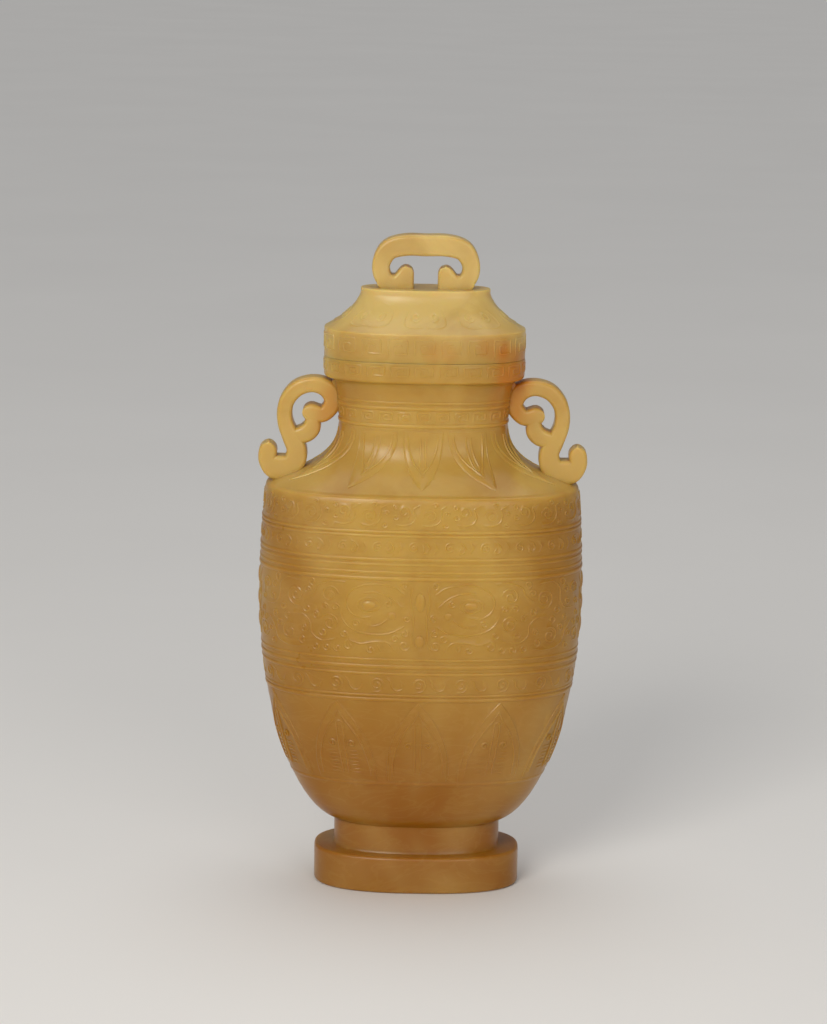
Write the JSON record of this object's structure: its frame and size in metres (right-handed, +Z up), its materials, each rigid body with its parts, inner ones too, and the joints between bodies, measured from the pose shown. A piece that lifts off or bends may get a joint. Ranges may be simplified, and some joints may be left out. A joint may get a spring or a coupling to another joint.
{
  "type": "lidded jade vase",
  "caption": "Flattened oval jade vase with a lift-off lid, scroll handles at the neck, a scroll finial and low carved bands.",
  "frame": {"origin": "centre of the foot's underside, on the surface that the vase stands on", "axes": "+Z up, X across the two handles, -Y towards the front of the picture"},
  "size_m": [0.0898, 0.053, 0.1801],
  "materials": {
    "body_jade": "waxy polish",
    "lid_jade": "waxy polish"
  },
  "bodies": {
    "root": {"vase": "body_jade", "lid": "lid_jade"}
  },
  "joints": []
}
